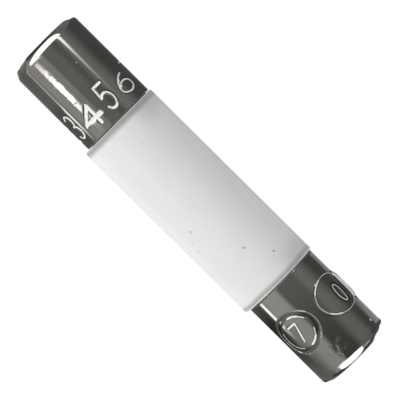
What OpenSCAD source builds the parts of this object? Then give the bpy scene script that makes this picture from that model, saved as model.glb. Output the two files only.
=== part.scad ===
// Ceramic cartridge fuse, standing on one end cap with its axis on Z.
// A thick ceramic tube has a turned-down spigot at each end, and a drawn metal cap sits on each spigot.
// Inside, a wire wound on a yarn core runs from cap to cap through a tamped sand filling.
// Each end of the wire and core stands in a pool of solder in the bottom of its cap.

/* [Overall] */
// Length over the two end caps
fuse_l = 32; // [28:0.5:40]
// Play left between pieces that are pushed, cemented or cast together
fit = 0.02; // [0.01:0.005:0.04]

/* [End caps] */
// Outside diameter of an end cap
cap_d = 6.1; // [5.6:0.1:7]
// Length of an end cap
cap_l = 7.8; // [6:0.1:9]
// Thickness of the drawn metal
cap_wall = 0.3; // [0.2:0.05:0.45]
// Outside radius between the side of the cap and its end
cap_corner_r = 0.8; // [0.5:0.05:1.1]
// Rounding of the cut rim at the mouth of the cap
cap_rim_r = 0.08; // [0.04:0.02:0.18]
// Gap between the rim of the cap and the shoulder of the ceramic
rim_gap = 0.05; // [0.02:0.01:0.2]

/* [Ceramic tube] */
// How far the ceramic stands proud of the caps, all round
shoulder_step = 0.25; // [0.2:0.05:0.8]
// How far the belly of the ceramic is out of true with its spigots, towards -X
belly_run_out = 0.12; // [0:0.02:0.16]
// Rounding of the ceramic's two shoulders
shoulder_r = 0.14; // [0.06:0.02:0.18]
// Diameter of the bore through the tube
bore_d = 3.1; // [2.8:0.1:3.6]
// Bevel at each end of the bore and of the spigots
end_bevel = 0.15; // [0.05:0.05:0.25]
// Gap between the corner of the cap and the end of the tube
tube_end_gap = 0.1; // [0.05:0.05:0.5]

/* [Fuse element] */
// Diameter of the yarn core
core_d = 0.8; // [0.6:0.05:1]
// Diameter of the fuse wire
wire_d = 0.25; // [0.15:0.05:0.3]
// Turns of wire round the core
wire_turns = 24; // [10:1:30]
// Play between the wire and its core
wire_play = 0.03; // [0.02:0.01:0.05]
// Depth of solder under the end of the element
solder_floor = 0.15; // [0.1:0.05:0.25]
// Radius of the solder where it creeps up the element
creep_r = 0.5; // [0.2:0.05:0.6]
// Thickness of the solder at the top of that creep
creep_lip = 0.1; // [0.05:0.05:0.15]

/* [Hidden] */
$fn = 96;

// Radii and heights of the caps
cap_r = cap_d / 2;
cap_inner_r = cap_r - cap_wall;
cap_inner_corner_r = cap_corner_r - cap_wall;

// The tube starts just past the corner of the cap
tube_z = cap_corner_r + tube_end_gap;
tube_l = fuse_l - 2 * tube_z;
spigot_r = cap_inner_r - fit;
belly_z = cap_l + rim_gap;
belly_l = fuse_l - 2 * belly_z;
belly_r = cap_r + shoulder_step;
bore_r = bore_d / 2;

// The element runs from solder to solder, and the wire lies outside its core
core_r = core_d / 2;
wire_r = wire_d / 2;
coil_r = core_r + wire_play + wire_r;
element_r = coil_r + wire_r;
element_z = cap_wall + solder_floor;
element_l = fuse_l - 2 * element_z;
pocket_r = element_r + fit;

// The solder lies between the bottom of the cap and the end of the tube
solder_z = cap_wall + fit;
solder_top = tube_z - fit;

// The creep is never wider than the bore leaves room for
creep = min(creep_r, bore_r - 2 * fit - pocket_r - creep_lip);
creep_centre_r = pocket_r + creep_lip + creep;

// Facets of the wire, whose rings lie inside its true round
WIRE_SIDES = 6;
RINGS_PER_TURN = 14;
OVER = 1;

// Half section of a turned solid of radius r and height h, with its foot and top corners rounded
module turned_section(r, h, foot_r, top_r) {
    square([r - foot_r, h / 2]);
    translate([0, h / 2])
        square([r - top_r, h / 2]);
    translate([0, foot_r])
        square([r, h - foot_r - top_r]);
    translate([r - foot_r, foot_r])
        circle(foot_r);
    translate([r - top_r, h - top_r])
        circle(top_r);
}

// Half section of a turned solid of radius r and height h, with bevelled corners
module bevelled_section(r, h, bevel) {
    polygon([
        [0, 0], [r - bevel, 0], [r, bevel],
        [r, h - bevel], [r - bevel, h], [0, h]
    ]);
}

// Half section of a bore of radius r through a height h, opened out at both mouths
module bore_section(r, h, bevel) {
    polygon([
        [0, -OVER], [r + bevel + OVER, -OVER], [r, bevel],
        [r, h - bevel], [r + bevel + OVER, h + OVER], [0, h + OVER]
    ]);
}

// Brings what stands at the bottom end of the fuse to its top end
module at_top() {
    translate([0, 0, fuse_l])
        mirror([0, 0, 1])
            children();
}

// Ceramic: a belly between two spigots, with one bore right through
module ceramic_tube() {
    color("#e9eae8")
        difference() {
            union() {
                rotate_extrude()
                    translate([0, tube_z])
                        bevelled_section(spigot_r, tube_l, end_bevel);
                translate([-belly_run_out, 0, 0])
                    rotate_extrude()
                        translate([0, belly_z])
                            turned_section(belly_r, belly_l, shoulder_r, shoulder_r);
            }
            rotate_extrude()
                translate([0, tube_z])
                    bore_section(bore_r, tube_l, end_bevel);
        }
}

// Drawn cap: one cup of even wall, with a rounded corner and a cut rim
module end_cap() {
    color("#a7a6a2")
        rotate_extrude()
            difference() {
                turned_section(cap_r, cap_l, cap_corner_r, cap_rim_r);
                translate([0, cap_wall])
                    turned_section(cap_inner_r, cap_l, cap_inner_corner_r, cap_rim_r);
            }
}

module bottom_cap() {
    end_cap();
}

module top_cap() {
    at_top()
        end_cap();
}

// Corner of the solder that climbs the element, with its hollow face and its top pushed out by play
module creep_section(play) {
    translate([0, solder_top])
        difference() {
            square([creep_centre_r, creep + play]);
            translate([creep_centre_r, creep])
                circle(creep - play);
        }
}

// Solder: a pool that fills the bottom of the cap, and a creep round the element that stands in it
module solder_pool() {
    color("#b4b7ba")
        rotate_extrude()
            difference() {
                union() {
                    intersection() {
                        translate([0, solder_z])
                            turned_section(cap_inner_r - fit, cap_l, cap_inner_corner_r - fit, fit);
                        square([cap_r, solder_top]);
                    }
                    creep_section(0);
                }
                translate([0, element_z - fit])
                    square([pocket_r, tube_l]);
            }
}

module bottom_solder() {
    solder_pool();
}

module top_solder() {
    at_top()
        solder_pool();
}

// Sand: a tamped column that fills the bore round the element, from creep to creep
module sand_filling() {
    color("#d8cdb2")
        rotate_extrude()
            difference() {
                translate([0, tube_z])
                    square([bore_r - fit, tube_l]);
                square([pocket_r, fuse_l]);
                creep_section(fit);
                translate([0, fuse_l])
                    mirror([0, 1])
                        creep_section(fit);
            }
}

// Yarn core that carries the wire
module element_core() {
    color("#efece0")
        translate([0, 0, element_z])
            cylinder(h = element_l, r = core_r);
}

// Point on the wire's skin: ring i of the coil, corner j of the wire's own section
function coil_rings() = wire_turns * RINGS_PER_TURN;
function coil_z(i) = element_z + wire_r + (element_l - wire_d) * i / coil_rings();
function wire_point(i, j) =
    let (
        turn = 360 * i / RINGS_PER_TURN,
        side = 360 * j / WIRE_SIDES,
        out = coil_r + wire_r * cos(side)
    )
    [out * cos(turn), out * sin(turn), coil_z(i) + wire_r * sin(side)];
function ring_start(i) = i * WIRE_SIDES;
function next_corner(i, j) = ring_start(i) + (j + 1) % WIRE_SIDES;

// Wire: one round wire in an open coil, closed at both cut ends
module element_wire() {
    color("#c3c4c6")
        polyhedron(
            points = [
                for (i = [0:coil_rings()], j = [0:WIRE_SIDES - 1])
                    wire_point(i, j)
            ],
            faces = concat(
                [[for (j = [0:WIRE_SIDES - 1]) ring_start(0) + j]],
                [
                    for (i = [0:coil_rings() - 1], j = [0:WIRE_SIDES - 1], half = [0, 1])
                        half == 0
                            ? [ring_start(i) + j, ring_start(i + 1) + j, next_corner(i + 1, j)]
                            : [ring_start(i) + j, next_corner(i + 1, j), next_corner(i, j)]
                ],
                [[for (j = [WIRE_SIDES - 1:-1:0]) ring_start(coil_rings()) + j]]
            )
        );
}

ceramic_tube();
top_cap();
bottom_cap();
sand_filling();
element_core();
element_wire();
top_solder();
bottom_solder();
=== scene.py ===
"""Ceramic cartridge fuse: the look of its caps, its ceramic and its inside, in a plain studio."""

import math

import bmesh
import bpy
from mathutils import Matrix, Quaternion, Vector


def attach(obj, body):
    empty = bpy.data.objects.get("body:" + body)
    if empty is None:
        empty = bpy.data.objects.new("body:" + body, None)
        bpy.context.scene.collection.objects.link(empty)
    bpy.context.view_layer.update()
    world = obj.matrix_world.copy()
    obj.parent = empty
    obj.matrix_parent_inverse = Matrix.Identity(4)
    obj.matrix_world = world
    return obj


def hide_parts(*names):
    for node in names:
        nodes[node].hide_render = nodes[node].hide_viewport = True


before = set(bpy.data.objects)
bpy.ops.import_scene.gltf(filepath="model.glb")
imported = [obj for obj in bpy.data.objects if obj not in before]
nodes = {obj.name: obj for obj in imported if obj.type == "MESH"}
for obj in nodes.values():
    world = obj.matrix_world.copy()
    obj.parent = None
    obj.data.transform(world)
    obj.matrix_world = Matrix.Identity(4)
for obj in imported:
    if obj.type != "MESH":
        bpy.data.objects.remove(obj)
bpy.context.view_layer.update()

# Sizes of the fuse in millimetres, as in the part's source
FUSE_L = 32.0
CAP_R, CAP_L, CAP_WALL = 3.05, 7.8, 0.3
CAP_CORNER_R, CAP_RIM_R = 0.8, 0.08
BELLY_R, BELLY_Z, SHOULDER_R, BELLY_RUN_OUT = 3.3, 7.85, 0.14, 0.12
SPIGOT_R, SPIGOT_Z, BORE_R, END_BEVEL = 2.73, 0.9, 1.55, 0.15
MM = 0.001

# The camera stands level with the fuse and is rolled, so that the fuse lies across the picture
PICTURE = 400
PIXELS_PER_MM = 13.86
VIEW_DISTANCE = 0.255
VIEW_ELEVATION = math.radians(1.5)
VIEW_ROLL = math.radians(-45.28)
AIM_X, AIM_Z = 0.018, FUSE_L / 2 - 0.04
SENSOR = 36.0


def place_camera():
    """The photograph's view, from the -Y side."""
    width = PICTURE / PIXELS_PER_MM * MM
    lens = bpy.data.cameras.new("camera")
    lens.sensor_width = SENSOR
    lens.lens = SENSOR * VIEW_DISTANCE / width
    lens.clip_start, lens.clip_end = 0.01, 100
    camera = bpy.data.objects.new("camera", lens)
    bpy.context.collection.objects.link(camera)
    back = Vector((0, -math.cos(VIEW_ELEVATION), math.sin(VIEW_ELEVATION)))
    camera.location = Vector((AIM_X, 0, AIM_Z)) * MM + back * VIEW_DISTANCE
    camera.rotation_mode = "QUATERNION"
    level = (-back).to_track_quat("-Z", "Y")
    camera.rotation_quaternion = level @ Quaternion((0, 0, 1), VIEW_ROLL)
    bpy.context.scene.camera = camera


place_camera()


# Modelling

# How near in millimetres counts as the same height, the same round and the same flat face
SAME_Z, SAME_R, SAME_FACE = 0.005, 0.02, 0.01

# The wall is cut across this far from its rounded edges, and edges shorter than this aren't divided
WALL_MARGIN, SHORT_EDGE = 0.05, 0.1

# A face whose normal rises by less than this is upright
UPRIGHT = 0.1


def edit(piece):
    """Selects the piece alone and opens it in edit mode."""
    bpy.ops.object.select_all(action="DESELECT")
    piece.select_set(True)
    bpy.context.view_layer.objects.active = piece
    bpy.ops.object.mode_set(mode="EDIT")


def leave():
    bpy.ops.object.mode_set(mode="OBJECT")


def pick(piece, kind, test):
    """In edit mode, selects only the verts, edges or faces of the piece that pass the test."""
    bpy.ops.mesh.select_mode(type={"verts": "VERT", "edges": "EDGE", "faces": "FACE"}[kind])
    bpy.ops.mesh.select_all(action="DESELECT")
    shape = bmesh.from_edit_mesh(piece.data)
    for part in getattr(shape, kind):
        if test(part):
            part.select_set(True)
    shape.select_flush_mode()
    bmesh.update_edit_mesh(piece.data)


def cylinder(name, radius, low, high, columns):
    """A closed cylinder on the fuse's axis, open for editing."""
    bpy.ops.object.select_all(action="DESELECT")
    bpy.ops.mesh.primitive_cylinder_add(
        vertices=columns, radius=radius, depth=high - low,
        end_fill_type="NGON", location=(0, 0, (low + high) / 2),
    )
    piece = bpy.context.object
    piece.name = piece.data.name = name
    bpy.ops.object.transform_apply(location=True, rotation=True, scale=True)
    edit(piece)
    return piece


def end_face(z):
    """Tests for the flat face that closes the piece at height z."""
    return lambda face: len(face.verts) > 8 and abs(face.calc_center_median().z - z) < SAME_FACE


def rim(radius, z, off=0.0):
    """Tests for the edges of the circle of that radius at height z, whose centre lies off the axis."""
    def on_circle(edge):
        return all(
            abs(v.co.z - z) < SAME_Z
            and abs(math.hypot(v.co.x - off, v.co.y) - radius) < SAME_R
            for v in edge.verts
        )
    return on_circle


def bevel(piece, radius, z, size, segments, off=0.0):
    pick(piece, "edges", rim(radius, z, off))
    bpy.ops.mesh.bevel(offset=size, offset_type="OFFSET", segments=segments, affect="EDGES")


def extrude_z(distance):
    bpy.ops.mesh.extrude_region_move(TRANSFORM_OT_translate={"value": (0, 0, distance)})


def outer_wall(face):
    middle = face.calc_center_median()
    return middle.xy.length > CAP_R - SAME_R and abs(face.normal.z) < UPRIGHT


def drawn_cap(name, columns, band, row):
    """A cup with its mouth up, and a band of its wall divided into fine rows for the stamps."""
    cap = cylinder(name, CAP_R, 0, CAP_L, columns)
    pick(cap, "faces", end_face(CAP_L))
    bpy.ops.mesh.inset(thickness=CAP_WALL)
    extrude_z(CAP_WALL - CAP_L)
    bevel(cap, CAP_R, 0, CAP_CORNER_R, segments=12)
    bevel(cap, CAP_R - CAP_WALL, CAP_WALL, CAP_CORNER_R - CAP_WALL, segments=5)
    bevel(cap, CAP_R, CAP_L, CAP_RIM_R, segments=3)
    bevel(cap, CAP_R - CAP_WALL, CAP_L, CAP_RIM_R, segments=2)
    low, high = band
    for z in (CAP_CORNER_R + WALL_MARGIN, *band, CAP_L - CAP_RIM_R - WALL_MARGIN):
        pick(cap, "faces", outer_wall)
        bpy.ops.mesh.bisect(plane_co=(0, 0, z), plane_no=(0, 0, 1))
    pick(
        cap, "edges",
        lambda edge: all(
            low - SAME_FACE < v.co.z < high + SAME_FACE and v.co.xy.length > CAP_R - SAME_R
            for v in edge.verts
        )
        and abs(edge.verts[0].co.z - edge.verts[1].co.z) > SHORT_EDGE,
    )
    bpy.ops.mesh.subdivide(number_cuts=round((high - low) / row) - 1)
    leave()
    return cap


def stepped_tube(name, columns):
    """The ceramic: a belly out of true, a spigot at each end, and a bore right through."""
    tube = cylinder(name, BELLY_R, BELLY_Z, FUSE_L - BELLY_Z, columns)
    bpy.ops.mesh.select_all(action="SELECT")
    bpy.ops.transform.translate(value=(-BELLY_RUN_OUT, 0, 0))
    for low in (True, False):
        shoulder = BELLY_Z if low else FUSE_L - BELLY_Z
        foot = SPIGOT_Z if low else FUSE_L - SPIGOT_Z
        bevel(tube, BELLY_R, shoulder, SHOULDER_R, segments=6, off=-BELLY_RUN_OUT)
        pick(tube, "faces", end_face(shoulder))
        bpy.ops.mesh.inset(thickness=BELLY_R - SHOULDER_R - SPIGOT_R)
        bpy.ops.transform.translate(value=(BELLY_RUN_OUT, 0, 0))
        extrude_z(foot - shoulder)
        bevel(tube, SPIGOT_R, foot, END_BEVEL, segments=1)
        pick(tube, "faces", end_face(foot))
        bpy.ops.mesh.inset(thickness=SPIGOT_R - END_BEVEL - BORE_R)
    feet = [end_face(SPIGOT_Z), end_face(FUSE_L - SPIGOT_Z)]
    pick(tube, "faces", lambda face: any(test(face) for test in feet))
    bpy.ops.mesh.bridge_edge_loops()
    for z in (SPIGOT_Z, FUSE_L - SPIGOT_Z):
        bevel(tube, BORE_R, z, END_BEVEL, segments=1)
    leave()
    return tube


def turn_over(piece):
    """Turns a piece of the bottom end to the top end."""
    bpy.ops.object.select_all(action="DESELECT")
    piece.select_set(True)
    bpy.context.view_layer.objects.active = piece
    bpy.ops.transform.rotate(
        value=math.pi, orient_axis="X", center_override=(0, 0, FUSE_L / 2)
    )
    bpy.ops.object.transform_apply(location=True, rotation=True, scale=True)


# Spacing of the points along the stamps: degrees on an arc, and millimetres on a wire
ARC_STEP, WIRE_STEP = 12, 0.1


def arc(middle, radii, start, end):
    """Points along an arc of an ellipse, its angles in degrees."""
    steps = max(2, round(abs(end - start) / ARC_STEP))
    points = []
    for i in range(steps + 1):
        a = math.radians(start + (end - start) * i / steps)
        points.append((middle[0] + radii[0] * math.cos(a), middle[1] + radii[1] * math.sin(a)))
    return points


def ring(radii, *spans):
    """Paths round a stamp's middle: a whole ellipse, or arcs of it between pairs of degrees."""
    return [arc((0, 0), radii, start, end) for start, end in spans or ((0, 360),)]


def across(start, end):
    """One straight path round the cap."""
    return [[(start, 0), (end, 0)]]


def upright(half):
    """One straight path along the cap, that far to each side."""
    return [[(0, -half), (0, half)]]


# Plain figures as an engraver cuts them, each in a box one wide and one high
FIGURES = {
    "0": [arc((0.5, 0.5), (0.46, 0.5), 0, 360)],
    "1": [[(0.2, 0.78), (0.55, 1), (0.55, 0)]],
    "2": [arc((0.5, 0.7), (0.44, 0.3), 165, -35) + [(0.04, 0), (0.98, 0)]],
    "3": [
        arc((0.46, 0.75), (0.4, 0.25), 150, -90),
        arc((0.46, 0.26), (0.46, 0.26), 90, -150),
    ],
    "4": [[(0.72, 0), (0.72, 1), (0.02, 0.3), (1, 0.3)]],
    "5": [[(0.92, 1), (0.14, 1), (0.08, 0.54)] + arc((0.46, 0.32), (0.48, 0.32), 130, -150)],
    "6": [
        arc((0.5, 0.31), (0.45, 0.31), 0, 360),
        arc((0.92, 0.31), (0.87, 0.69), 180, 104),
    ],
    "7": [[(0.02, 1), (0.98, 1), (0.4, 0)]],
    "8": [
        arc((0.5, 0.76), (0.37, 0.24), 0, 360),
        arc((0.5, 0.26), (0.46, 0.26), 0, 360),
    ],
    "9": [
        arc((0.5, 0.69), (0.45, 0.31), 0, 360),
        arc((0.08, 0.69), (0.87, 0.69), 0, -76),
    ],
}


def scribe(name, paths, turn, z, radius=CAP_R):
    """Wires along flat paths, wrapped on a round of that radius about the place at that turn and height."""
    points, edges = [], []
    for path in paths:
        dense = [path[0]]
        for a, b in zip(path, path[1:]):
            cuts = max(1, math.ceil(math.dist(a, b) / WIRE_STEP))
            dense += [
                (a[0] + (b[0] - a[0]) * i / cuts, a[1] + (b[1] - a[1]) * i / cuts)
                for i in range(1, cuts + 1)
            ]
        edges += [(len(points) + i, len(points) + i + 1) for i in range(len(dense) - 1)]
        points += dense
    wrapped = []
    for x, y in points:
        a = math.radians(turn) + x / radius
        wrapped.append((radius * math.sin(a), -radius * math.cos(a), z + y))
    mesh = bpy.data.meshes.new(name)
    mesh.from_pydata(wrapped, edges, [])
    wires = bpy.data.objects.new(name, mesh)
    bpy.context.collection.objects.link(wires)
    return wires


def figure(character, width, height):
    """The paths of a figure of that size, round its middle."""
    return [
        [((x - 0.5) * width, (y - 0.5) * height) for x, y in path]
        for path in FIGURES[character]
    ]


def press(cap, wires, flat, reach, lift, painted_light=0.0):
    """Lifts the skin of the cap along the wires, fully out to flat and less and less out to reach.

    Painted light is what this adds to the look of the plate there: about 0.3 is painted shade and 1 is a
    painted highlight, pale as bare metal, whose soft edge shows as a ring of painted shade.
    """
    bpy.ops.object.select_all(action="DESELECT")
    cap.select_set(True)
    bpy.context.view_layer.objects.active = cap
    near = cap.modifiers.new("near", "VERTEX_WEIGHT_PROXIMITY")
    near.vertex_group = "skin"
    near.target = wires
    near.proximity_mode = "GEOMETRY"
    near.proximity_geometry = {"EDGE"}
    near.min_dist, near.max_dist = reach, flat
    near.falloff_type = "SMOOTH"
    push = cap.modifiers.new("push", "DISPLACE")
    push.vertex_group = "skin"
    push.direction = "NORMAL"
    push.mid_level = 0
    push.strength = lift
    keep = cap.modifiers.new("keep", "VERTEX_WEIGHT_MIX")
    keep.vertex_group_a, keep.vertex_group_b = "painted_light", "skin"
    keep.mix_mode, keep.mix_set = "ADD", "ALL"
    keep.mask_constant = painted_light
    for modifier in (near.name, push.name, keep.name):
        bpy.ops.object.modifier_apply(modifier=modifier)
    bpy.data.objects.remove(wires)


def ready_for_pressing(cap):
    """Marks the outside of the cap, which the stamps move, and starts the record of the light and shade
    that they paint.
    """
    low = min(v.co.z for v in cap.data.vertices)
    middle = Vector((0, 0, low + CAP_L / 2))
    skin = cap.vertex_groups.new(name="skin")
    skin.add([v.index for v in cap.data.vertices if v.normal.dot(v.co - middle) > 0], 1.0, "REPLACE")
    cap.vertex_groups.new(name="painted_light").add(range(len(cap.data.vertices)), 0.0, "REPLACE")


def keep_painted_light(cap):
    """Turns the record of the painted light and shade into an attribute that the plating reads."""
    group = cap.vertex_groups["painted_light"].index
    values = [max(g.weight for g in v.groups if g.group == group) for v in cap.data.vertices]
    cap.vertex_groups.clear()
    cap.data.attributes.new("painted_light", "FLOAT", "POINT").data.foreach_set("value", values)


def finish_piece(piece, node, angle=40):
    """Brings a piece from millimetres to metres and sets it in the place of its node."""
    bpy.ops.object.select_all(action="DESELECT")
    piece.select_set(True)
    bpy.context.view_layer.objects.active = piece
    bpy.ops.transform.resize(value=(MM, MM, MM), center_override=(0, 0, 0))
    bpy.ops.object.transform_apply(location=True, rotation=True, scale=True)
    bpy.ops.object.shade_smooth_by_angle(angle=math.radians(angle))
    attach(piece, "root")
    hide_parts(node)


# Figures round the top cap, like those of a dial, with their feet towards the ceramic.
# The odd ones are tall and the even ones wide, and every fourth one is cut with a broad tool.
TALL, WIDE = (0.92, 2.05), (1.6, 1.5)
FINE_CUT, BROAD_CUT, CUT_SLOPE = 0.022, 0.08, 0.155
FIGURE_FEET_Z = FUSE_L - 6.97
FIVE_TURN, FIGURE_PITCH = 11, 36
# A full painted highlight on a stamp's strokes
FULL_GLINT = 1.0

# The short path of a lip that a knock threw up
LIP = across(-0.5, 0.5)

top_cap = drawn_cap("top_cap_shell", columns=640, band=(4.6, 7.3), row=0.031)
turn_over(top_cap)
ready_for_pressing(top_cap)

# Knocks at the corner of the top cap, with a lip beside them on each side of the photograph's view
for path, turn, z, radius, flat, reach, lift in (
    (across(-1.1, 0.9), -72, FUSE_L + 0.05, CAP_R, 0.15, 1.1, -0.13),
    (across(-0.8, 0.6), -78, FUSE_L, 2.3, 0.1, 0.85, -0.07),
    (LIP, -87, FUSE_L - 0.3, 2.68, 0.05, 0.28, 0.09),
    (across(-0.6, 0.6), 90, FUSE_L - 0.05, 2.55, 0.1, 0.5, -0.08),
    (LIP, 90, FUSE_L - 0.4, 2.94, 0.02, 0.32, 0.08),
):
    press(top_cap, scribe("corner", path, turn, z, radius), flat, reach, lift)

for place in range(10):
    width, height = TALL if place % 2 else WIDE
    flat = FINE_CUT if place % 4 else BROAD_CUT
    turn = FIVE_TURN + (place - 5) * FIGURE_PITCH
    wires = scribe("figure", figure(str(place), width, height), turn, FIGURE_FEET_Z + height / 2)
    # Each figure gets a painted highlight along its strokes and painted shade round them
    press(top_cap, wires, flat, flat + CUT_SLOPE, -0.06, FULL_GLINT)
keep_painted_light(top_cap)

# Two round stamps on the bottom cap: at the right a ridge round a naught, whose outer edge bulges and
# has a painted highlight, and at the left a groove with a rim on each side of it, round a 7.
# Each is told by the turn and the height of its middle, and its rings by their radii.
RIGHT_STAMP, LEFT_STAMP, NAUGHT = (45.5, 4.45), (-37.5, 4.32), (53.4, 4.22)
RIDGE, OUTER_RIM, GROOVE, INNER_RIM = (1.86, 1.54), (1.84, 1.64), (1.63, 1.49), (1.36, 1.28)
NAUGHT_SIZE, SEVEN_SIZE = (0.72, 1.5), (0.8, 1.4)

# What only paints a highlight on the plate still has to move the skin by a hair
HAIR = -0.004

bottom_cap = drawn_cap("bottom_cap_shell", columns=600, band=(2.4, 6.3), row=0.034)
ready_for_pressing(bottom_cap)

# A knock at the corner of the bottom cap, and a lip on each side of the photograph's view
for path, turn, z, radius, flat, reach, lift in (
    (across(-0.9, 0.9), 78, -0.1, 2.62, 0.3, 0.95, -0.18),
    (LIP, 91, 0.53, CAP_R, 0.05, 0.32, 0.07),
    (LIP, -90, 0.36, 2.92, 0.02, 0.31, 0.115),
):
    press(bottom_cap, scribe("corner", path, turn, z, radius), flat, reach, lift)

# The last number is the painted light: the ridge, the naught, the rims, the bright arcs and the 7 get
# painted highlights, and the hollow round the naught and the groove get painted shade
for name, paths, turn, z, flat, reach, lift, painted_light in (
    ("ridge", ring(RIDGE), *RIGHT_STAMP, 0.03, 0.15, 0.05, 0.78),
    ("bulge", upright(0.65), 89, 4.42, 0.1, 0.72, 0.1, 0),
    # Painted highlight: a pale band on the bulge beside the ridge
    ("glint_band", upright(0.8), 80, 4.35, 0.4, 0.72, 0.05, 0.8),
    ("hollow", figure("0", *NAUGHT_SIZE), *NAUGHT, 0.12, 0.36, -0.04, 0.3),
    ("naught", figure("0", *NAUGHT_SIZE), *NAUGHT, 0.03, 0.1, -0.04, 0.7),
    ("groove", ring(GROOVE), *LEFT_STAMP, 0.1, 0.26, -0.08, 0.28),
    ("rim", ring(OUTER_RIM), *LEFT_STAMP, 0.02, 0.07, HAIR, 0.72),
    ("bright", ring(RIDGE, (105, 140), (212, 240)), *RIGHT_STAMP, 0.04, 0.1, HAIR, 0.25),
    ("bright", ring(OUTER_RIM, (30, 82), (220, 229), (284, 318)), *LEFT_STAMP, 0.03, 0.08, HAIR, 0.3),
    ("rim", ring(INNER_RIM, (25, 60), (150, 245), (300, 338)), *LEFT_STAMP, 0.03, 0.09, HAIR, 0.9),
    ("seven", figure("7", *SEVEN_SIZE), *LEFT_STAMP, 0.04, 0.15, -0.06, FULL_GLINT),
):
    press(bottom_cap, scribe(name, paths, turn, z), flat, reach, lift, painted_light)
keep_painted_light(bottom_cap)

ceramic = stepped_tube("ceramic_body", columns=288)

finish_piece(top_cap, "top_cap")
finish_piece(bottom_cap, "bottom_cap")
finish_piece(ceramic, "ceramic_tube", angle=30)


# Materials


class Amount:
    """A number that changes over a surface. Sums on it add Math nodes."""

    def __init__(self, tree, socket):
        self.tree, self.socket = tree, socket

    def math(self, operation, *values):
        made = add_node(self.tree, "ShaderNodeMath", {"operation": operation}, dict(enumerate(values)))
        return Amount(self.tree, made.outputs[0])

    def __add__(self, other):
        return self.math("ADD", self, other)

    __radd__ = __add__

    def __mul__(self, other):
        return self.math("MULTIPLY", self, other)

    __rmul__ = __mul__

    def __sub__(self, other):
        return self.math("SUBTRACT", self, other)

    def __rsub__(self, other):
        return self.math("SUBTRACT", other, self)

    def __neg__(self):
        return self * -1.0

    def step(self, low, high):
        """Goes smoothly from 0 where this is low to 1 where it is high."""
        made = add_node(
            self.tree, "ShaderNodeMapRange", {"interpolation_type": "SMOOTHSTEP"},
            {"Value": self, "From Min": low, "From Max": high},
        )
        return Amount(self.tree, made.outputs[0])

    def between(self, low, high, soft):
        """1 from low to high, with soft edges."""
        return self.step(low - soft, low + soft) * (1.0 - self.step(high - soft, high + soft))


def add_node(tree, kind, settings=None, sockets=None):
    """A node with its settings made first, and then the values or links of its sockets."""
    made = tree.nodes.new(kind)
    for name, value in (settings or {}).items():
        setattr(made, name, value)
    for name, value in (sockets or {}).items():
        if isinstance(value, Amount):
            value = value.socket
        if isinstance(value, bpy.types.NodeSocket):
            tree.links.new(value, made.inputs[name])
        else:
            made.inputs[name].default_value = value
    return made


# Share of a spot's radius over which it is at its full strength
SPOT_CORE = 0.4


class Finish:
    """A material whose patterns are worked out at each place on the piece."""

    def __init__(self, name, **fixed):
        self.material = bpy.data.materials.new(name)
        self.material.use_nodes = True
        self.tree = self.material.node_tree
        self.shader = self.tree.nodes["Principled BSDF"]
        for socket, value in fixed.items():
            self.shader.inputs[socket.replace("_", " ")].default_value = value
        place = self.node("ShaderNodeTexCoord").outputs["Object"]
        self.place = place
        apart = self.node("ShaderNodeSeparateXYZ", None, {0: place})
        self.x, self.y, self.z = (Amount(self.tree, apart.outputs[i]) for i in range(3))

    def node(self, kind, settings=None, sockets=None):
        return add_node(self.tree, kind, settings, sockets)

    def noise(self, scale, detail=2.0, rough=0.5, shift=0.0):
        """Clouds from 0 to 1, whose size along X, Y and Z is one over each scale."""
        stretched = self.node(
            "ShaderNodeMapping", None,
            {"Vector": self.place, "Scale": scale, "Location": (shift, shift, shift)},
        )
        made = self.node(
            "ShaderNodeTexNoise", None,
            {"Vector": stretched.outputs[0], "Scale": 1.0, "Detail": detail, "Roughness": rough},
        )
        return Amount(self.tree, made.outputs["Fac"])

    def blend(self, amount, first, second):
        """A colour between the two."""
        made = self.node("ShaderNodeMix", {"data_type": "RGBA"}, {0: amount})
        for place, colour in ((6, first), (7, second)):
            if isinstance(colour, bpy.types.NodeSocket):
                self.tree.links.new(colour, made.inputs[place])
            else:
                made.inputs[place].default_value = (*colour, 1)
        return made.outputs[2]

    def near(self, point, radius, stretch=(1, 1, 1)):
        """1 round the point and 0 from the radius outwards. Stretch narrows it along each axis."""
        away = self.node("ShaderNodeVectorMath", {"operation": "SUBTRACT"}, {0: self.place, 1: point})
        scaled = self.node(
            "ShaderNodeVectorMath", {"operation": "MULTIPLY"}, {0: away.outputs[0], 1: stretch}
        )
        length = self.node("ShaderNodeVectorMath", {"operation": "LENGTH"}, {0: scaled.outputs[0]})
        return 1.0 - Amount(self.tree, length.outputs["Value"]).step(radius * SPOT_CORE, radius)

    def attribute(self, name):
        made = self.node("ShaderNodeAttribute", {"attribute_name": name})
        return Amount(self.tree, made.outputs["Fac"])

    def bump(self, height, distance, under=None):
        sockets = {"Height": height, "Distance": distance, "Strength": 1.0}
        if under is not None:
            sockets["Normal"] = under
        return self.node("ShaderNodeBump", None, sockets).outputs[0]

    def feed(self, **sockets):
        """Links what changes over the surface to the shader."""
        for name, value in sockets.items():
            if isinstance(value, Amount):
                value = value.socket
            self.tree.links.new(value, self.shader.inputs[name.replace("_", " ")])

    def put_on(self, *pieces):
        for piece in pieces:
            piece.data.materials.clear()
            piece.data.materials.append(self.material)


def on_belly(turn, z):
    """A place on the ceramic, in metres."""
    a = math.radians(turn)
    return ((BELLY_R * math.sin(a) - BELLY_RUN_OUT) * MM, -BELLY_R * math.cos(a) * MM, z * MM)


def on_cap(turn, z):
    """A place on the wall of a cap, in metres."""
    a = math.radians(turn)
    return (CAP_R * math.sin(a) * MM, -CAP_R * math.cos(a) * MM, z * MM)


# Places on the caps as a turn, a height and a size: the scuffs with how deep their dents are, and the glint
# spots, which are painted highlights, with how bright they are.
# A scuff also has what its size is narrowed by along each axis.
SCUFFS = ((-14, 1.6, 1.1, (1, 1, 1), 3.6), (-24, 28.6, 2.4, (1.8, 1.8, 1), 0.5))
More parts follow.
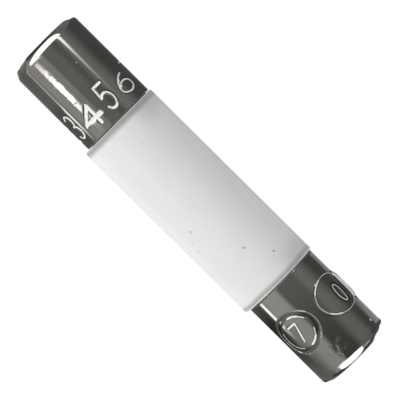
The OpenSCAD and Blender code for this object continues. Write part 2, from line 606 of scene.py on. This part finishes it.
# Painted highlights: two small pale spots on the plate
GLINT_SPOTS = ((15, 29.19, 0.07, 0.6), (56, 1.26, 0.13, 1.0))

# Depths of the plating's bumps, in metres
WAVES_DEEP, DENTS_DEEP, LINES_DEEP = 1.2e-5, 1.5e-5, 4e-7


def nickel_finish():
    """Drawn nickel plate: nearly a mirror, with fine draw lines along the cap and a faint uneven tone.

    It is dented at the scuffs, painted dark as shade at the soft edges of the stamps and in their hollows,
    and painted pale as highlights along the stamps' strokes and rims and at a few glint spots.
    """
    nickel = Finish("nickel_plate")
    lines = nickel.noise((9000, 9000, 260), 3.0)
    waves = nickel.noise((800, 800, 170), 1.0, shift=3.0)
    patches = nickel.noise((420, 420, 300), 4.0, 0.6, shift=7.0)
    tone = patches.step(0.35, 0.75)
    glint_mottle = nickel.noise((2600, 2600, 2600), 2.0, shift=11.0).step(0.25, 0.5)
    dents = nickel.noise((2400, 2400, 1700), 2.0, shift=17.0) - 0.5
    scuffed, glint_spots = 0.0, 0.0
    for turn, z, size, narrow, deep in SCUFFS:
        scuffed = scuffed + nickel.near(on_cap(turn, z), size * MM, narrow) * deep
    for turn, z, size, bright in GLINT_SPOTS:
        glint_spots = glint_spots + nickel.near(on_cap(turn, z), size * MM) * bright
    dented = nickel.bump(dents * scuffed, DENTS_DEEP, nickel.bump(waves, WAVES_DEEP))
    painted_light = nickel.attribute("painted_light")
    # Painted shade: where the record of painted light is low, the plate is darkened nearly to black
    stamp_shade = painted_light.step(0.04, 0.2) * (1.0 - painted_light.step(0.45, 0.7)) * 0.6
    # Painted highlight: where the record is high, and at the glint spots, the plate turns pale, rough and
    # hardly metallic, unevenly
    glint = painted_light.step(0.6, 0.92) * (0.82 + glint_mottle * 0.18) + glint_spots
    light, dark = (0.43, 0.42, 0.395), (0.385, 0.372, 0.345)
    # Colours of the painted shade and of the painted highlight
    shade_colour, glint_colour = (0.08, 0.08, 0.075), (0.97, 0.96, 0.93)
    plate = nickel.blend(stamp_shade, nickel.blend(tone, light, dark), shade_colour)
    nickel.feed(
        Base_Color=nickel.blend(glint, plate, glint_colour),
        Roughness=0.06 + lines * 0.05 + tone * 0.02 + glint * 0.3,
        Metallic=1.0 - glint * 0.85,
        Normal=nickel.bump(lines, LINES_DEEP, dented),
    )
    return nickel


def shoulder_shade(depth, start, full, fade):
    """How much painted shade greys the ceramic at a depth from its shoulder, next to a cap: full in the
    middle and gone at fade.
    """
    return depth.step(start * MM, full * MM) * (1.0 - depth.step(full * MM, fade * MM))


# Specks on the ceramic: turn, height, size, how dark, and what their size is narrowed by along each axis
SPECKS = (
    (22.4, 9.75, 0.085, 0.85, (1, 1, 0.8)),
    (-0.7, 11.4, 0.11, 0.35, (1, 1, 1)),
    (-2.2, 11.47, 0.12, 0.4, (1, 1, 1)),
    (1.5, 21.8, 0.14, 0.12, (1.2, 1, 0.7)),
    (-36.8, 14.9, 0.15, 0.3, (1, 1, 0.8)),
    (-48.5, 14.2, 0.17, 0.15, (1, 1, 0.8)),
    (-50.6, 13.5, 0.16, 0.15, (1, 1, 0.8)),
    (95, 19.3, 0.13, 0.3, (1, 1, 0.8)),
    (148, 12.2, 0.1, 0.5, (1, 1, 0.8)),
    (-140, 17.7, 0.16, 0.25, (1, 1, 0.8)),
    (-172, 21.0, 0.11, 0.35, (1, 1, 0.8)),
)


def ceramic_finish():
    """Fired white ceramic: matt, faintly clouded, with painted shade at its shoulders next to the caps,
    broader on its +X side, and with a few specks.
    """
    white = Finish("fired_ceramic", Roughness=0.5)
    white.shader.inputs["Specular IOR Level"].default_value = 0.35
    clouds = white.noise((500, 500, 420), 3.0)
    grain = white.noise((16000, 16000, 16000), 2.0)
    uneven = (white.noise((700, 700, 700), 3.0, shift=5.0) - 0.5) * (0.5 * MM)
    # Painted shade by side: all of it is a little lighter on the +X side
    side_fade = 1.0 - white.x.step(1.0 * MM, 3.0 * MM) * 0.15
    low, high = white.z - BELLY_Z * MM, (FUSE_L - BELLY_Z) * MM - white.z
    # Painted shade: a grey band on the ceramic next to each cap
    painted_shade = shoulder_shade(low + uneven * 0.4, 0.03, 0.18, 0.6) * 0.83
    painted_shade = painted_shade + shoulder_shade(high + uneven * 0.6, -0.25, 0.2, 0.7) * 0.9
    # Painted shade: a broader grey by each shoulder on the +X side, away from the key lamp
    side_shade = shoulder_shade(low, 0.15, 0.5, 2.4) + shoulder_shade(high, 0.15, 0.5, 2.4)
    painted_shade = painted_shade + side_shade * (white.x + uneven * 2.0).step(0.3 * MM, 2.3 * MM) * 0.36
    specks = 0.0
    for turn, z, size, deep, stretch in SPECKS:
        specks = specks + white.near(on_belly(turn, z), size * MM, stretch) * deep
    body = white.blend(clouds.step(0.3, 0.7), (0.797, 0.80, 0.787), (0.817, 0.82, 0.804))
    # The painted shade greys the body towards this colour
    shaded_body = white.blend(painted_shade * side_fade, body, (0.33, 0.335, 0.33))
    white.feed(
        Base_Color=white.blend(specks, shaded_body, (0.1, 0.1, 0.11)),
        Roughness=0.46 + grain * 0.1 + painted_shade * 0.3,
        Normal=white.bump(grain, 5e-7, white.bump(clouds, 4e-6)),
    )
    return white


# Grains of sand in a metre
GRAINS = 4200.0


def sand_finish():
    """Packed quartz grains of mixed tones."""
    sand = Finish("quartz_sand", Roughness=0.8)
    cells = sand.node("ShaderNodeTexVoronoi", None, {"Vector": sand.place, "Scale": GRAINS})
    grains = Amount(sand.tree, cells.outputs["Distance"])
    shade = sand.noise((GRAINS, GRAINS, GRAINS), 1.0)
    tone = sand.blend(shade.step(0.3, 0.7), (0.74, 0.67, 0.53), (0.55, 0.47, 0.33))
    sand.feed(
        Base_Color=sand.blend(grains.step(0.3, 0.8), tone, (0.36, 0.3, 0.2)),
        Roughness=0.7 + shade * 0.2,
        Normal=sand.bump(1.0 - grains, 8e-5),
    )
    return sand


def yarn_finish():
    """Twisted glass-fibre yarn."""
    yarn = Finish("core_yarn", Roughness=0.7)
    turn = yarn.y.math("ARCTAN2", yarn.y, yarn.x)
    twist = turn * 5.0 + yarn.z * 5200.0
    strands = twist.math("SINE", twist)
    fuzz = yarn.noise((9000, 9000, 3000), 3.0)
    yarn.feed(
        Base_Color=yarn.blend(strands.step(-1.0, 0.6), (0.58, 0.55, 0.46), (0.86, 0.84, 0.77)),
        Roughness=0.62 + fuzz * 0.2,
        Normal=yarn.bump(strands + fuzz * 0.6, 2e-5),
    )
    return yarn


def tin_finish(name, light, dark, rough, size):
    """Tinned wire or solder: soft bright metal with a dull skin in patches."""
    tin = Finish(name, Metallic=1.0)
    skin = tin.noise((size, size, size), 4.0, 0.6)
    tin.feed(
        Base_Color=tin.blend(skin.step(0.3, 0.75), light, dark),
        Roughness=rough + skin * 0.2,
        Normal=tin.bump(skin, 4e-6),
    )
    return tin


nickel_finish().put_on(top_cap, bottom_cap, nodes["top_cap"], nodes["bottom_cap"])
ceramic_finish().put_on(ceramic, nodes["ceramic_tube"])
sand_finish().put_on(nodes["sand_filling"])
yarn_finish().put_on(nodes["element_core"])
tinned = tin_finish(
    "tinned_wire", light=(0.66, 0.66, 0.67), dark=(0.5, 0.5, 0.5), rough=0.2, size=3000.0
)
tinned.put_on(nodes["element_wire"])
solder = tin_finish(
    "solder", light=(0.6, 0.61, 0.63), dark=(0.42, 0.43, 0.44), rough=0.25, size=1500.0
)
solder.put_on(nodes["top_solder"], nodes["bottom_solder"])


# Studio


def glow(name, build):
    """A material that only shines, as strongly as build(place) says."""
    made = Finish(name)
    shine = made.node("ShaderNodeEmission", None, {"Strength": build(made)})
    out = made.tree.nodes["Material Output"]
    made.tree.links.new(shine.outputs[0], out.inputs["Surface"])
    made.tree.nodes.remove(made.shader)
    made.material.cycles.emission_sampling = "NONE"
    return made


def for_reflections_only(thing):
    """Hides the thing from all but glossy rays."""
    thing.visible_camera = thing.visible_diffuse = thing.visible_shadow = False
    thing.visible_transmission = thing.visible_volume_scatter = False


# Size of the tent in metres
TENT_R, TENT_LOW, TENT_HIGH = 0.1, -0.076, 0.086
TENT_SIDES = 128

# Light of the bare wall, of a bare lid and of a window
BARE_TENT, BARE_LID, WINDOW = 0.11, 0.25, 2.9

# How many degrees the wall's cloths wander, and the scales of the clouds that they follow
RIPPLE_TURN, RIPPLES = 4.0, (30, 30, 420)

# Each cloth or strip light hangs from one turn to the next with edges that soft, and between two
# heights with edges that soft. The last number is the light that it adds, or takes away below zero.
# Turns are in degrees, and heights in millimetres.
CLOTHS = (
    (-98, 80, 16, -90, 99, 1, 0.13),
    (-190, -98, 8, -90, 99, 1, 0.04),
    (-150, -98, 8, -90, -2, 1, 0.07),
    (-190, -98, 8, 31, 99, 1, 0.06),
    (36, 62, 10, -90, 99, 1, 0.06),
    (14, 33, 7, 5, 99, 2, -0.07),
    (-86, -21, 4, 8, 99, 3, 0.17),
    (-86, -58, 10, 8, 99, 3, 0.10),
    (-58, -21, 4, 36, 60, 3, 0.20),
    (-88, -29, 8, -90, 8, 3, 0.13),
    (-72, -29, 8, -90, 8, 3, 0.20),
    (-25, 26, 6, -90, -3, 4, -0.11),
    (30, 64, 8, -90, -3, 4, -0.05),
    (-27, 36, 6, -90, 6, 3, -0.038),
    (-70, -29, 6, -90, -2, 4, -0.06),
    (-158, -104, 8, -6, 0.5, 1.5, -0.13),
    (116, 152, 5, -17, -5, 2, 0.3),
    (130, 152, 5, -5, 4, 2, 0.25),
    (153, 162, 3, -17, -1, 3, 0.5),
    (153, 162, 3, -1, 12, 3, 0.4),
    (160, 200, 8, -17, 12, 4, 0.20),
    (-200, -160, 8, -90, 99, 1, 0.08),
    (-58.5, -47, 1.5, 28.2, 33, 0.6, 3.2),
    (-47, -42, 1.5, 28.8, 31.8, 0.9, 3.2),
    (-58, -47, 3, 33, 35.2, 0.8, 0.8),
    (-70, -30, 6, 60, 99, 6, 1.8),
    (-68, -38, 8, -90, -53, 8, 1.6),
    (42.4, 47.8, 1.2, 31, 99, 4.5, 0.95),
    (41, 49.5, 1.5, 33.4, 99, 0.8, 1.3),
    (-97, -91, 1, 27, 99, 3, 0.7),
    (-97, -91, 1, 26.5, 29.8, 0.8, 1.9),
    (-103, -96, 2, 52, 75, 6, 0.5),
    (-97.5, -88, 1.3, -1.5, 3.5, 1, 2.4),
    (-90, -70, 4, -1.5, 3.5, 1, 0.18),
)

# Straight edges of each window, as what they weigh x and y by, the most that this may reach, and the
# softness of the edge, in millimetres
TOP_WINDOW = ((1, 1.2, 20, 3), (-0.3, 1, 2, 3), (0.3, -1, 82, 9))
BOTTOM_WINDOW = ((1, 0.36, 20, 4), (-1.1, 1, 60, 5), (0, -1, 80, 8), (1, -1, 88, 10))


def tent_wall(place):
    """Grey cloths round the fuse and narrow strip lights between them."""
    ripple = (place.noise(RIPPLES, 2.0) - 0.5) * RIPPLE_TURN
    turn = place.x.math("ARCTAN2", place.x, -place.y) * math.degrees(1) + ripple
    height = place.z * (1 / MM)
    level = BARE_TENT
    for start, end, soft, low, high, fade, more in CLOTHS:
        level = level + turn.between(start, end, soft) * height.between(low, high, fade) * more
    return level


def window(place, edges):
    """The light of the window inside all of its edges."""
    inside = WINDOW
    for x, y, most, soft in edges:
        away = place.x * (x / MM) + place.y * (y / MM)
        inside = (1.0 - away.step(most - soft, most + soft)) * inside
    return inside


def top_lid(place):
    """The top of the tent: the window, a pale cloth at its left and a dark hole behind it."""
    pale = (1.0 - place.x.step(-0.055, -0.03)) * (1.0 - place.y.step(0.01, 0.06)) * 0.25
    hole = place.near((-0.006, 0.04, TENT_HIGH), 0.034) * 0.21
    return window(place, TOP_WINDOW) + pale - hole + BARE_LID


def bottom_lid(place):
    """The bottom of the tent: the window, a pale cloth at its left, a small lamp, and the cloths behind."""
    pale = (1.0 - place.x.step(-0.055, -0.03)) * (1.0 - place.y.step(0.0, 0.05)) * 0.3
    lamp = place.near((0.04, -0.004, TENT_LOW), 0.018) * 0.6
    back = place.y.step(0.012, 0.03) * 0.17
    corner = place.x.step(0.015, 0.03) * place.y.step(0.05, 0.07) * 0.35
    return window(place, BOTTOM_WINDOW) + pale + lamp + corner - back + BARE_LID


def hang_tent():
    """The tent's wall and its two lids, which only reflections show."""
    bpy.ops.object.select_all(action="DESELECT")
    bpy.ops.mesh.primitive_cylinder_add(
        vertices=TENT_SIDES, radius=TENT_R, depth=TENT_HIGH - TENT_LOW,
        end_fill_type="NOTHING", location=(0, 0, (TENT_HIGH + TENT_LOW) / 2),
    )
    wall = bpy.context.object
    wall.name = "tent_wall"
    bpy.ops.object.transform_apply(location=True, rotation=True, scale=True)
    glow("tent_wall", tent_wall).put_on(wall)
    lids = []
    for z, shines in ((TENT_LOW, bottom_lid), (TENT_HIGH, top_lid)):
        bpy.ops.mesh.primitive_circle_add(
            vertices=TENT_SIDES, radius=TENT_R, fill_type="NGON", location=(0, 0, z)
        )
        lid = bpy.context.object
        lid.name = shines.__name__
        bpy.ops.object.transform_apply(location=True, rotation=True, scale=True)
        glow(shines.__name__, shines).put_on(lid)
        lids.append(lid)
    for side in (wall, *lids):
        for_reflections_only(side)


# Size of the floor and how far it lies under the fuse, in metres
FLOOR_SIZE, FLOOR_DROP = 8, 1e-5

# Light that the camera sees on the floor, and how much of what it sees is that light
FLOOR_SHINE, FLOOR_LIFT = 1.12, 0.82


def lay_floor():
    """White floor that keeps the fuse's shadow, lifted to white where the camera sees it."""
    bpy.ops.object.select_all(action="DESELECT")
    bpy.ops.mesh.primitive_plane_add(size=FLOOR_SIZE, location=(0, 0, -FLOOR_DROP))
    floor = bpy.context.object
    floor.name = "floor"
    made = Finish("white_floor", Roughness=0.9)
    made.shader.inputs["Base Color"].default_value = (0.8, 0.8, 0.8, 1)
    made.shader.inputs["Specular IOR Level"].default_value = 0.0
    ray = made.node("ShaderNodeLightPath")
    seen = Amount(made.tree, ray.outputs["Is Camera Ray"])
    shine = made.node("ShaderNodeEmission", None, {"Strength": FLOOR_SHINE})
    mix = made.node(
        "ShaderNodeMixShader", None,
        {0: seen * FLOOR_LIFT, 1: made.shader.outputs[0], 2: shine.outputs[0]},
    )
    made.tree.links.new(mix.outputs[0], made.tree.nodes["Material Output"].inputs["Surface"])
    made.put_on(floor)
    floor.visible_glossy = False


# Level of the world on what it lights
AMBIENT = 0.698


def light_world():
    """White where the camera and gloss see it, and a plain level on what it lights."""
    world = bpy.data.worlds.new("studio")
    bpy.context.scene.world = world
    world.use_nodes = True
    tree = world.node_tree
    ray = add_node(tree, "ShaderNodeLightPath")
    camera, gloss = (Amount(tree, ray.outputs[name]) for name in ("Is Camera Ray", "Is Glossy Ray"))
    seen = camera.math("MAXIMUM", camera, gloss)
    shine = tree.nodes["Background"]
    shine.inputs["Color"].default_value = (1, 1, 1, 1)
    tree.links.new((AMBIENT + seen * (1.0 - AMBIENT)).socket, shine.inputs["Strength"])


def hang_lamp(name, turn, height, distance, size, watts):
    """A soft square lamp that looks at the fuse. Its turn and height are in degrees."""
    lamp = bpy.data.lights.new(name, "AREA")
    lamp.shape = "SQUARE"
    lamp.size = size
    lamp.energy = watts
    hung = bpy.data.objects.new(name, lamp)
    bpy.context.collection.objects.link(hung)
    a, e = math.radians(turn), math.radians(height)
    back = Vector((math.sin(a) * math.cos(e), -math.cos(a) * math.cos(e), math.sin(e)))
    hung.location = Vector((0, 0, FUSE_L / 2 * MM)) + back * distance
    hung.rotation_mode = "QUATERNION"
    hung.rotation_quaternion = (-back).to_track_quat("-Z", "Y")
    hung.visible_glossy = False


hang_tent()
lay_floor()
light_world()
hang_lamp("key", turn=-50, height=15, distance=0.35, size=0.14, watts=0.379)
hang_lamp("rim", turn=-136, height=10, distance=0.35, size=0.14, watts=0.45)
bpy.context.scene.view_settings.view_transform = "Standard"
